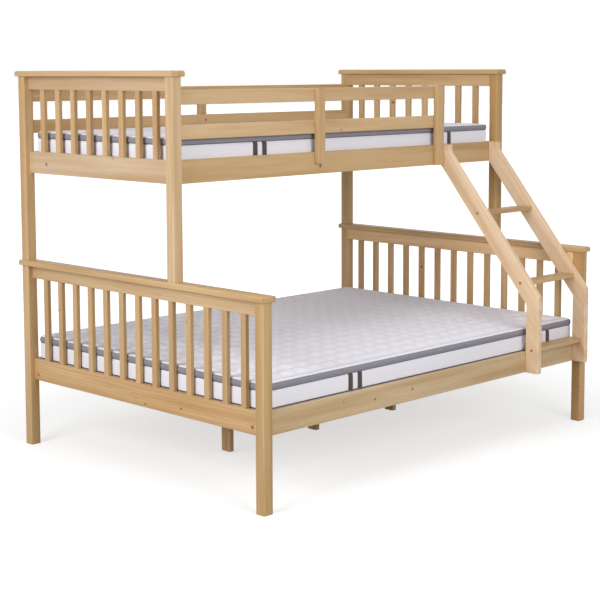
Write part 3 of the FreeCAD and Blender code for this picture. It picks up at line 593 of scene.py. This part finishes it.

# %% [markdown]
# ## Painted light and shade, and knots
#
# The ladder's sides are tinted much paler than the rest, and some rails and posts a little lighter
# or darker. The lighter tints are painted light, and the darker ones, on the posts at the right end
# and near the floor, are painted shade where the light falls off. A tint is three factors, for red,
# green and blue. The named knots lie on the faces that the photograph shows, each with its place
# and one of three radii.

# %% Painted light tints, knots and rows of slats
PLAIN_TINT = (1, 1, 1)
PAINTED_LIGHT_TINTS = (
    ("stringer", (1.46, 1.64, 2.25)),
    ("lower_top_rail_right", (1.4, 1.45, 1.6)),
    ("lower_top_rail_left", (1.06, 1.14, 1.3)),
    ("lower_bottom_rail_left", (1.03, 1, 0.95)),
    ("upper_bottom_rail_left", (1.04, 1.15, 1.5)),
    ("upper_top_rail_left", (0.96, 1.02, 1.24)),
    ("lower_side_rail_front", (1.05, 1.16, 1.4)),
    ("front_guard_board_low", (1.15, 1.22, 1.38)),
    ("front_guard_board_high", (1.06, 1.09, 1.2)),
    ("upper_post_front_left", (1.05, 1.12, 1.3)),
    ("lower_post_front_left", (0.92, 0.92, 0.88)),
    ("lower_post_front_right", (0.95, 0.86, 0.76)),
    ("upper_post_front_right", (0.89, 0.84, 0.7)),
)
SMALL_KNOT, FULL_KNOT, LARGE_KNOT = 0.0032, 0.0048, 0.0064
KNOTS = {
    "lower_bottom_rail_left": (
        ((-0.983, -0.639, 0.308), LARGE_KNOT),
        ((-0.983, -0.244, 0.311), FULL_KNOT),
        ((-0.983, 0.027, 0.309), SMALL_KNOT),
        ((-0.983, 0.298, 0.303), SMALL_KNOT),
    ),
    "lower_panel_slats_left": (
        ((-0.981, 0.530, 0.599), FULL_KNOT),
        ((-0.975, -0.282, 0.648), LARGE_KNOT),
    ),
    "upper_bottom_rail_left": (
        ((-0.983, 0.594, 1.200), LARGE_KNOT),
        ((-0.983, 0.148, 1.243), SMALL_KNOT),
    ),
    "lower_side_rail_front": (
        ((-0.568, -0.6995, 0.339), SMALL_KNOT),
        ((-0.392, -0.6995, 0.323), FULL_KNOT),
        ((-0.170, -0.6995, 0.327), FULL_KNOT),
    ),
    "upper_side_rail_front": (((-0.197, -0.2195, 1.192), LARGE_KNOT),),
    "back_guard_board_low": (((-0.002, 0.7095, 1.355), FULL_KNOT),),
    "lower_panel_slats_right": (
        ((0.963, 0.401, 0.557), FULL_KNOT),
        ((0.963, 0.211, 0.616), LARGE_KNOT),
    ),
    "upper_panel_slats_right": (((0.963, 0.402, 1.423), LARGE_KNOT),),
    "front_guard_upright_end": (
        ((0.502, -0.2415, 1.442), FULL_KNOT),
        ((0.490, -0.2415, 1.479), SMALL_KNOT),
    ),
    "upper_post_back_left": (((-1.005, 0.722, 1.235), SMALL_KNOT),),
}
PANEL_SLATS = {"lower": 13, "upper": 8}
PANEL_SLAT_WIDE = 0.028
BED_SLATS = 14
BED_SLAT_WIDE = 0.07


def painted_light_tint_of(name):
    """How much a board's colour is lit or shaded by its painted tint, for each part of its colour."""
    return next((painted_tint for part, painted_tint in PAINTED_LIGHT_TINTS if part in name), PLAIN_TINT)


def row_of(name):
    """Which axis a row of slats runs along, where it starts and how far its slats are apart."""
    low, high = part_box(name)
    if "panel_slats" in name:
        count, wide, axis = PANEL_SLATS[name.split("_")[0]], PANEL_SLAT_WIDE, 1
    elif "bed_slats" in name:
        count, wide, axis = BED_SLATS, BED_SLAT_WIDE, 0
    else:
        return None
    pitch = (high[axis] - low[axis] - wide) / (count - 1)
    return axis, low[axis] - (pitch - wide) / 2, pitch


print("named knots:", sum(len(places) for places in KNOTS.values()))

# %% [markdown]
# ## Dress the wood
#
# Everything in the construction model that is no fitting and no mattress is a board or a row of
# slats. Their names are sorted, so that each board draws the same chance numbers in each run.

# %% Dress the wooden parts
FITTINGS = ("rail_bolts", "barrel_nuts", "stacking_pins", "ladder_screw_caps")
MATTRESSES = ("lower_mattress", "upper_mattress")


def dress(name, material):
    """Give a part of the construction model its finish."""
    for slot in frame["nodes"][name].material_slots:
        slot.material = material


wooden = [name for name in sorted(frame["nodes"]) if name not in FITTINGS + MATTRESSES]
for seed, name in enumerate(wooden, 1):
    knots = KNOTS.get(name, ())
    dress(name, pine(f"pine_{name}", grain_of(name), seed, painted_light_tint_of(name), knots, row_of(name)))
print("boards dressed:", len(wooden))

# %% [markdown]
# ## Fittings
#
# The bolts, nuts and pins are bright zinc, hidden in the joints. The screws of the ladder's treads
# are covered by small brown plastic caps, which are the only fittings that show.

# %% Metal and plastic
CLOUD_SCALE, CLOUD_DETAIL = 900, 3
ZINC_DARK, ZINC_BRIGHT = shade(186, 188, 190), shade(214, 214, 210)
ZINC_ROUGHNESS = (0.28, 0.46)
MOULD_SCALE, MOULD_DETAIL = 1400, 2
PLASTIC_DARK, PLASTIC_PALE = shade(146, 104, 66), shade(166, 122, 80)
PLASTIC_ROUGHNESS = (0.35, 0.5)
PLASTIC_BUMP = 0.2


def zinc():
    """Zinc-plated steel, a little cloudy."""
    material, tree, shader = new_material("zinc_plate")
    cloud = noise_node(tree, object_place(tree), CLOUD_SCALE, CLOUD_DETAIL)
    colour = blend_colours(tree, cloud, ZINC_DARK, ZINC_BRIGHT)
    rough = range_node(tree, cloud, 0, 1, *ZINC_ROUGHNESS)
    fill(tree, shader, {"Base Color": colour, "Roughness": rough, "Metallic": 1})
    return material


def cap_plastic():
    """Brown plastic with a fine moulded grain."""
    material, tree, shader = new_material("brown_plastic")
    grain = noise_node(tree, object_place(tree), MOULD_SCALE, MOULD_DETAIL)
    colour = blend_colours(tree, grain, PLASTIC_DARK, PLASTIC_PALE)
    rough = range_node(tree, grain, 0, 1, *PLASTIC_ROUGHNESS)
    relief = bump_node(tree, grain, PLASTIC_BUMP, FINISH_DEPTH)
    fill(tree, shader, {"Base Color": colour, "Roughness": rough, "Normal": relief})
    return material


ZINC = zinc()
for name in FITTINGS[:-1]:
    dress(name, ZINC)
dress(FITTINGS[-1], cap_plastic())
print("fittings dressed:", len(FITTINGS))

# %% [markdown]
# ## Mattress cloths
#
# The cover is a white knitted ticking with a lilac cast. A knit is rows of small loops, so its
# weave is two fine waves that cross, and its softness is sheen. The border at the top edge is a
# grey spacer mesh: a regular net of holes over a darker ground. The piping at the border's lower
# seam is a darker ribbed cord, and the same cloth makes the band at the foot, which is painted
# shadow. The tapes are dark ribbed webbing.

# %% Cloth materials
KNIT_STEP = 0.0016
NET_STEP = 0.0024
RIB_STEP = 0.0014
WAVE_TURNS = 20
RIB_SHADE = 0.6
UNEVEN_SCALE, UNEVEN_DETAIL = 45, 4
UNEVEN_FROM_TO, UNEVEN_SHADE = (0.3, 0.7), (0.9, 1)
CLOTH_DEPTH = 0.0005
CLOTH_BUMP = 0.4
CLOTH_GLOSS = {"Sheen Roughness": 0.5, "Specular IOR Level": 0.2}
ROUGHNESS_SWING = 0.08
TICKING, TICKING_SHADE = shade(237, 236, 243), shade(225, 224, 233)
NET_LIGHT, NET_DARK = shade(166, 164, 173), shade(116, 114, 123)
CORD_AND_SHADOW_LIGHT, CORD_AND_SHADOW_DARK = shade(104, 102, 111), shade(70, 68, 76)
TAPE_LIGHT, TAPE_DARK = shade(92, 82, 76), shade(56, 50, 47)
CLOTH_ROUGHNESS = {"ticking": 0.86, "border_net": 0.8, "piping_cord_and_shadow_band": 0.75, "webbing": 0.75}
CLOTH_SHEEN = {"ticking": 0.12, "border_net": 0.1, "piping_cord_and_shadow_band": 0.08, "webbing": 0.08}


def weave(tree, step, way):
    """Fine parallel ribs across one axis, a step apart."""
    scale = math.tau / (WAVE_TURNS * step)
    inputs = {"Vector": object_place(tree), "Scale": scale, "Distortion": 0}
    return put(tree, "ShaderNodeTexWave", inputs, bands_direction=way).outputs["Fac"]


def cloth(name, light, dark, ribs):
    """A cloth whose colour and relief follow its ribs and a little unevenness."""
    material, tree, shader = new_material(name)
    uneven = noise_node(tree, object_place(tree), UNEVEN_SCALE, UNEVEN_DETAIL)
    relief = range_node(tree, uneven, *UNEVEN_FROM_TO, *UNEVEN_SHADE)
    for way, step in ribs:
        rib = range_node(tree, weave(tree, step, way), 0, 1, RIB_SHADE, 1)
        relief = math_node(tree, "MULTIPLY", relief, rib)
    share = range_node(tree, relief, RIB_SHADE ** 2, 1)
    rough = CLOTH_ROUGHNESS[name]
    looks = {
        "Base Color": blend_colours(tree, share, dark, light),
        "Normal": bump_node(tree, relief, CLOTH_BUMP, CLOTH_DEPTH),
        "Roughness": range_node(tree, uneven, 0, 1, rough - ROUGHNESS_SWING, rough + ROUGHNESS_SWING),
        "Sheen Weight": CLOTH_SHEEN[name],
    }
    fill(tree, shader, {**looks, **CLOTH_GLOSS})
    return material


KNIT = cloth("ticking", TICKING, TICKING_SHADE, (("X", KNIT_STEP), ("Y", KNIT_STEP)))
NET = cloth("border_net", NET_LIGHT, NET_DARK, (("DIAGONAL", NET_STEP), ("Z", NET_STEP)))
CORD_AND_SHADOW = cloth("piping_cord_and_shadow_band", CORD_AND_SHADOW_LIGHT, CORD_AND_SHADOW_DARK, (("DIAGONAL", RIB_STEP),))
TAPE = cloth("webbing", TAPE_LIGHT, TAPE_DARK, (("Z", RIB_STEP),))
print("cloths:", KNIT.name, NET.name, CORD_AND_SHADOW.name, TAPE.name)

# %% [markdown]
# ## The mattress body: a rounded block
#
# A sprung mattress is a soft block with rounded corners. It starts as a cube that is sized and has
# first its upright edges rounded and then the rims of its top and underside.

# %% Round a block
CORNER_ROUND = 0.012
EDGE_ROUND = 0.011
CORNER_STEPS = 6
EDGE_STEPS = 3
ROUND_PROFILE = 0.5
UPRIGHT_LEAST = 0.9


def upright_edges(block):
    """The edges that stand upright."""
    found = []
    for edge in block.edges:
        along = (edge.verts[1].co - edge.verts[0].co).normalized()
        if abs(along.z) > UPRIGHT_LEAST:
            found.append(edge)
    return found


def rim_edges(block):
    """The edges where a flat top or underside meets the sides."""
    return [edge for edge in block.edges if any(abs(f.normal.z) > UPRIGHT_LEAST for f in edge.link_faces)]


def round_off(block, edges, radius, steps):
    """Round some edges of a block."""
    bmesh.ops.bevel(
        block, geom=edges, offset=radius, segments=steps,
        profile=ROUND_PROFILE, affect="EDGES", material=-1,
    )


def rounded_block(low, high):
    """A block with rounded corners and softened top and bottom edges."""
    block = bmesh.new()
    size = Matrix.Diagonal((*(high - low), 1))
    bmesh.ops.create_cube(block, size=1, matrix=Matrix.Translation((low + high) / 2) @ size)
    round_off(block, upright_edges(block), CORNER_ROUND, CORNER_STEPS)
    block.normal_update()
    round_off(block, rim_edges(block), EDGE_ROUND, EDGE_STEPS)
    return block


print("corners rounded by", CORNER_ROUND)

# %% [markdown]
# ## The mattress body: swell and settle
#
# The block is remeshed to even squares and blown up for a moment as cloth, and how far a point may
# move is capped. Remeshing draws the corners in, so the block starts a little too large. In the end
# each point is held inside the mattress's own space, which leaves the broad faces flat, the
# underside on its slats, and the rounding at the edges. A double mattress spreads a little beyond
# its nominal size. The sewn pattern comes last, because a remesh would wipe it out.

# %% Swell a mattress
VOXEL = 0.016
OVERFILL = 0.006
SPREAD = {"lower_mattress": (0.008, 0.014), "upper_mattress": (0, 0.002)}
SWELL_PRESSURE = 4
SWELL_FRAMES = 20
SWELL_CAP = 0.005


def baked(piece):
    """Swap a piece's mesh for the mesh that its modifiers make, and drop them."""
    graph = bpy.context.evaluated_depsgraph_get()
    shaped = bpy.data.meshes.new_from_object(piece.evaluated_get(graph))
    piece.modifiers.clear()
    piece.data = shaped


def swell(piece):
    """Blow the block up as cloth for a moment and keep each point's move under the cap."""
    before = [vertex.co.copy() for vertex in piece.data.vertices]
    puff = piece.modifiers.new("puff", "CLOTH")
    puff.settings.use_pressure = True
    puff.settings.uniform_pressure_force = SWELL_PRESSURE
    puff.settings.effector_weights.gravity = 0
    puff.point_cache.frame_start = 1
    puff.point_cache.frame_end = SWELL_FRAMES
    for step in range(1, SWELL_FRAMES + 1):
        bpy.context.scene.frame_set(step)
    baked(piece)
    bpy.context.scene.frame_set(1)
    for vertex, start in zip(piece.data.vertices, before):
        move = vertex.co - start
        if move.length > SWELL_CAP:
            vertex.co = start + move.normalized() * SWELL_CAP


def room_of(node):
    """The space that a cover fills: its plain block, a little wider, as a soft mattress spreads."""
    low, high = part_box(node)
    spread = Vector((*SPREAD[node], 0))
    return low - spread, high + spread


def hold_in(piece, low, high):
    """Move the points that left a space back to its walls."""
    for vertex in piece.data.vertices:
        for axis in range(3):
            vertex.co[axis] = min(max(vertex.co[axis], low[axis]), high[axis])


def mattress_body(node):
    """The swollen block that stands for a mattress of the construction model."""
    low, high = room_of(node)
    below = Vector((OVERFILL, OVERFILL, 0))
    above = Vector((OVERFILL, OVERFILL, OVERFILL))
    piece = finish_piece(rounded_block(low - below, high + above), f"{node}_cover", KNIT)
    even = piece.modifiers.new("even", "REMESH")
    even.mode = "VOXEL"
    even.voxel_size = VOXEL
    baked(piece)
    swell(piece)
    fine = piece.modifiers.new("fine", "SUBSURF")
    fine.levels = 1
    fine.render_levels = 1
    baked(piece)
    hold_in(piece, low, high)
    print(piece.name, len(piece.data.polygons), "faces")
    return piece


covers = {node: mattress_body(node) for node in MATTRESSES}

# %% [markdown]
# ## Quilting
#
# The top is stitched to its padding in small squares, which makes rows of soft puffs. The stitch
# lines are moved down in the finished mesh, and each puff keeps its height in the middle. The
# pattern fades out at the rounded edge, where the border begins. The top also falls a little from
# its middle towards its rim, more on the double mattress, and the border's lower seam is drawn in.

# %% Quilt the top and pull in the seam
QUILT_STEP = 0.078
QUILT_DEPTH = 0.0105
FADE_START, FADE_END = 0.012, 0.05
TOP_FACING = 0.6
BORDER_SHARES = {"lower_mattress": (0.765, 0.915), "upper_mattress": (0.785, 0.935)}
CROWN = {"lower_mattress": 0.006, "upper_mattress": 0.002}
CROWN_REACH = 0.3
SEAM_PULL = 0.0035
PULL_REACH = 0.006


def fade(value, start, end):
    """Nought below the start, one above the end, and a smooth curve between."""
    share = min(max((value - start) / (end - start), 0), 1)
    return share * share * (3 - 2 * share)


def seams_of(node):
    """How high the lower and the upper seam of a border lie."""
    low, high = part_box(node)
    return [low.z + share * (high.z - low.z) for share in BORDER_SHARES[node]]


def quilt(piece, node):
    """Lower the stitch lines and the rim of the top, and draw the border's lower seam in."""
    low, high = room_of(node)
    middle = (low + high) / 2
    seam = seams_of(node)[0]
    normals = [vertex.normal.copy() for vertex in piece.data.vertices]
    for vertex, normal in zip(piece.data.vertices, normals):
        place = vertex.co - middle
        across = [abs(math.sin(math.pi * place[axis] / QUILT_STEP)) for axis in (0, 1)]
        stitch = QUILT_DEPTH * (1 - across[0] * across[1])
        rim = min(high[axis] - middle[axis] - abs(place[axis]) for axis in (0, 1))
        top = fade(rim, FADE_START, FADE_END) if normal.z > TOP_FACING else 0
        vertex.co.z -= stitch * top
        fall = CROWN[node] * (1 - fade(rim, 0, CROWN_REACH))
        vertex.co.z -= fall * fade(place.z, 0, middle.z - low.z)
        pull = SEAM_PULL * math.exp(-(((vertex.co.z - seam) / PULL_REACH) ** 2))
        vertex.co -= Vector((normal.x, normal.y, 0)) * pull
    piece.data.update()


for node, cover in covers.items():
    quilt(cover, node)
print("quilted in squares of", QUILT_STEP)

# %% [markdown]
# ## Strips that run round a mattress
#
# Bands and piping are sewn on, so they follow the swollen cover. Each is drawn round the plain
# outline first, from the middle of the front, straight along the sides and spun round the corners.
# It is then laid on the cover by looking from outside towards it: each of its points keeps its own
# height and the distance that it stood out from the outline.

# %% Draw a strip round and lay it on
EDGE, POINT = bmesh.types.BMEdge, bmesh.types.BMVert
QUARTER = math.pi / 2
STRIP_STEP = 0.025
STRIP_TURN_STEPS = 10
MERGE_REACH = 0.0001
LOOK_FROM = 0.06
LOOK_DEEP = 0.016


def only(parts, kind):
    """The edges, or the points, among the parts that an operator gave back."""
    return [part for part in parts if isinstance(part, kind)]


def draw_straight(strip, end, ahead, reach):
    """Draw the end of a strip straight on, and give back its new end."""
    steps = max(1, round(reach / STRIP_STEP))
    for _ in range(steps):
        end = bmesh.ops.extrude_edge_only(strip, edges=only(end, EDGE))["geom"]
        bmesh.ops.translate(strip, verts=only(end, POINT), vec=ahead * reach / steps)
    return end


def draw_corner(strip, end, centre):
    """Spin the end of a strip a quarter turn, and give back its new end."""
    made = bmesh.ops.spin(
        strip, geom=only(end, POINT) + only(end, EDGE), cent=centre, axis=(0, 0, 1),
        dvec=(0, 0, 0), angle=QUARTER, steps=STRIP_TURN_STEPS, use_duplicate=False,
    )
    return made["geom_last"]


def run_round(strip, low, high):
    """Draw a profile, which stands at the middle of the front, round the outline."""
    half_long = (high.x - low.x) / 2 - CORNER_ROUND
    half_wide = (high.y - low.y) / 2 - CORNER_ROUND
    end = list(strip.verts) + list(strip.edges)
    place = Vector(((low.x + high.x) / 2, low.y, 0))
    ahead = ALONG["x"]
    turn = Matrix.Rotation(QUARTER, 3, "Z")
    for run, reach in enumerate((half_long, 2 * half_wide, 2 * half_long, 2 * half_wide, half_long)):
        if run > 0:
            centre = place + Vector((-ahead.y, ahead.x, 0)) * CORNER_ROUND
            end = draw_corner(strip, end, centre)
            place = centre + turn @ (place - centre)
            ahead = turn @ ahead
        end = draw_straight(strip, end, ahead, reach)
        place += ahead * reach
    bmesh.ops.remove_doubles(strip, verts=strip.verts, dist=MERGE_REACH)


def core_of(point, low, high):
    """The nearest point, at floor level, of the outline less its rounded rim."""
    inner = [min(max(point[a], low[a] + CORNER_ROUND), high[a] - CORNER_ROUND) for a in (0, 1)]
    return Vector((*inner, 0))


def lay_on(strip, surface, low, high, seam=None):
    """Move a strip level until it lies on the cover, each point at its own height or at a seam's."""
    for vertex in strip.verts:
        flat = Vector((vertex.co.x, vertex.co.y, 0))
        core = core_of(flat, low, high)
        away = (flat - core).normalized()
        proud = (flat - core).length - CORNER_ROUND
        path = core + away * CORNER_ROUND
        height = vertex.co.z if seam is None else seam
        start = Vector((path.x, path.y, height)) + away * LOOK_FROM
        hit = surface.ray_cast(start, -away, LOOK_FROM + LOOK_DEEP)[0] or path - away * LOOK_DEEP
        vertex.co = Vector((hit.x, hit.y, vertex.co.z)) + away * proud


def surface_of(piece):
    """A search tree of a piece's faces."""
    return BVHTree.FromObject(piece, bpy.context.evaluated_depsgraph_get())


bpy.context.view_layer.update()
surfaces = {node: surface_of(cover) for node, cover in covers.items()}
print("covers to sew on:", len(surfaces))

# %% [markdown]
# ## Border, piping and a painted shadow band
#
# A grey net border runs round the top edge of each cover between two piped seams. A piping starts
# as a circle, and a band as a row of points with a soft bulge between its two edges. The cover of
# the double mattress also has a dark band at its foot, a painted shadow that shows as a dark line
# above the side rail.

# %% Sew the bands and the piping
PIPING_RADIUS = 0.0022
PIPING_SIDES = 8
BORDER_ROWS = 6
BORDER_PROUD = 0.0012
BORDER_BULGE = 0.002
FOOT_LIFT = 0.004
# Where the painted shadow band at a mattress's foot ends, just above the side rail.
SHADOW_BAND_TOPS = {"lower_mattress": 0.374}


def piping(node, seam, name, material):
    """A thin cord sewn into a seam round the mattress."""
    low, high = room_of(node)
    ring = bmesh.new()
    front = Vector(((low.x + high.x) / 2, low.y, seam))
    stand = Matrix.Translation(front) @ Matrix.Rotation(QUARTER, 4, "Y")
    bmesh.ops.create_circle(ring, cap_ends=False, segments=PIPING_SIDES, radius=PIPING_RADIUS, matrix=stand)
    run_round(ring, low, high)
    bmesh.ops.recalc_face_normals(ring, faces=ring.faces)
    lay_on(ring, surfaces[node], low, high, seam)
    return finish_piece(ring, name, material)


def sewn_band(node, bottom, top, name, material):
    """A sewn band with a soft bulge between its two edges."""
    low, high = room_of(node)
    band = bmesh.new()
    rows = []
    for row in range(BORDER_ROWS + 1):
        share = row / BORDER_ROWS
        proud = BORDER_PROUD + BORDER_BULGE * math.sin(math.pi * share)
        height = bottom + share * (top - bottom)
        rows.append(band.verts.new(((low.x + high.x) / 2, low.y - proud, height)))
    for first, second in zip(rows, rows[1:]):
        band.edges.new((first, second))
    run_round(band, low, high)
    lay_on(band, surfaces[node], low, high)
    bmesh.ops.recalc_face_normals(band, faces=band.faces)
    return finish_piece(band, name, material)


def border(node):
    """The net border of a cover and the piping in its two seams."""
    bottom, top = seams_of(node)
    print(node, "border from", round(bottom, 3), "to", round(top, 3))
    return [
        sewn_band(node, bottom, top, f"{node}_border", NET),
        piping(node, bottom, f"{node}_piping_low", CORD_AND_SHADOW),
        piping(node, top, f"{node}_piping_high", NET),
    ]


sewn = {node: border(node) for node in covers}
# A dark band at the foot of the double mattress paints the shadow line where the mattress meets the side
# rail.
for node, shadow_band_top in SHADOW_BAND_TOPS.items():
    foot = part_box(node)[0].z + FOOT_LIFT
    sewn[node].append(sewn_band(node, foot, shadow_band_top, f"{node}_shadow_band", CORD_AND_SHADOW))

# %% [markdown]
# ## Tapes on the front
#
# Pairs of dark tapes run down the front of each cover from the border to the slats, near both
# ends. A tape is a narrow grid that is laid on the cover and given its thickness.

# %% Cut and lay the tapes
TAPE_ROWS = 10
TAPE_COLUMNS = 2
TAPE_THICK = 0.0014
HALF_UNIT = 0.5
TAPES = {
    "upper_mattress": ((-0.555, -0.531), (-0.505, -0.481), (0.604, 0.628), (0.654, 0.678)),
    "lower_mattress": ((-0.514, -0.490), (-0.462, -0.438), (0.708, 0.732), (0.764, 0.788)),
}


def tape(node, left, right, name):
    """One tape down the front of a cover."""
    low, high = room_of(node)
    strip = bmesh.new()
    foot, top = low.z + FOOT_LIFT, seams_of(node)[0]
    front = Vector(((left + right) / 2, low.y, (foot + top) / 2))
    stand = Matrix.Translation(front) @ Matrix.Rotation(QUARTER, 4, "X")
    place = stand @ Matrix.Diagonal((right - left, top - foot, 1, 1))
    bmesh.ops.create_grid(
        strip, x_segments=TAPE_COLUMNS, y_segments=TAPE_ROWS, size=HALF_UNIT, matrix=place,
    )
    lay_on(strip, surfaces[node], low, high)
    piece = finish_piece(strip, name, TAPE)
    thick = piece.modifiers.new("thick", "SOLIDIFY")
    thick.thickness = TAPE_THICK
    thick.offset = 1
    return piece


for node in covers:
    for number, (left, right) in enumerate(TAPES[node]):
        sewn[node].append(tape(node, left, right, f"{node}_tape_{number}"))
print("tapes:", sum(len(places) for places in TAPES.values()))

# %% [markdown]
# ## Join the mattresses to their bodies
#
# Each mattress lifts off its slats as one, so its cover and all that is sewn to it ride on the
# same body. The cover stands for the construction model's plain block.

# %% Ride and replace
for node, cover in covers.items():
    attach(cover, node)
    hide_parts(node)
    for piece in [cover, *sewn[node]]:
        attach(piece, node)
print("pieces sewn to the covers:", sum(len(pieces) for pieces in sewn.values()))
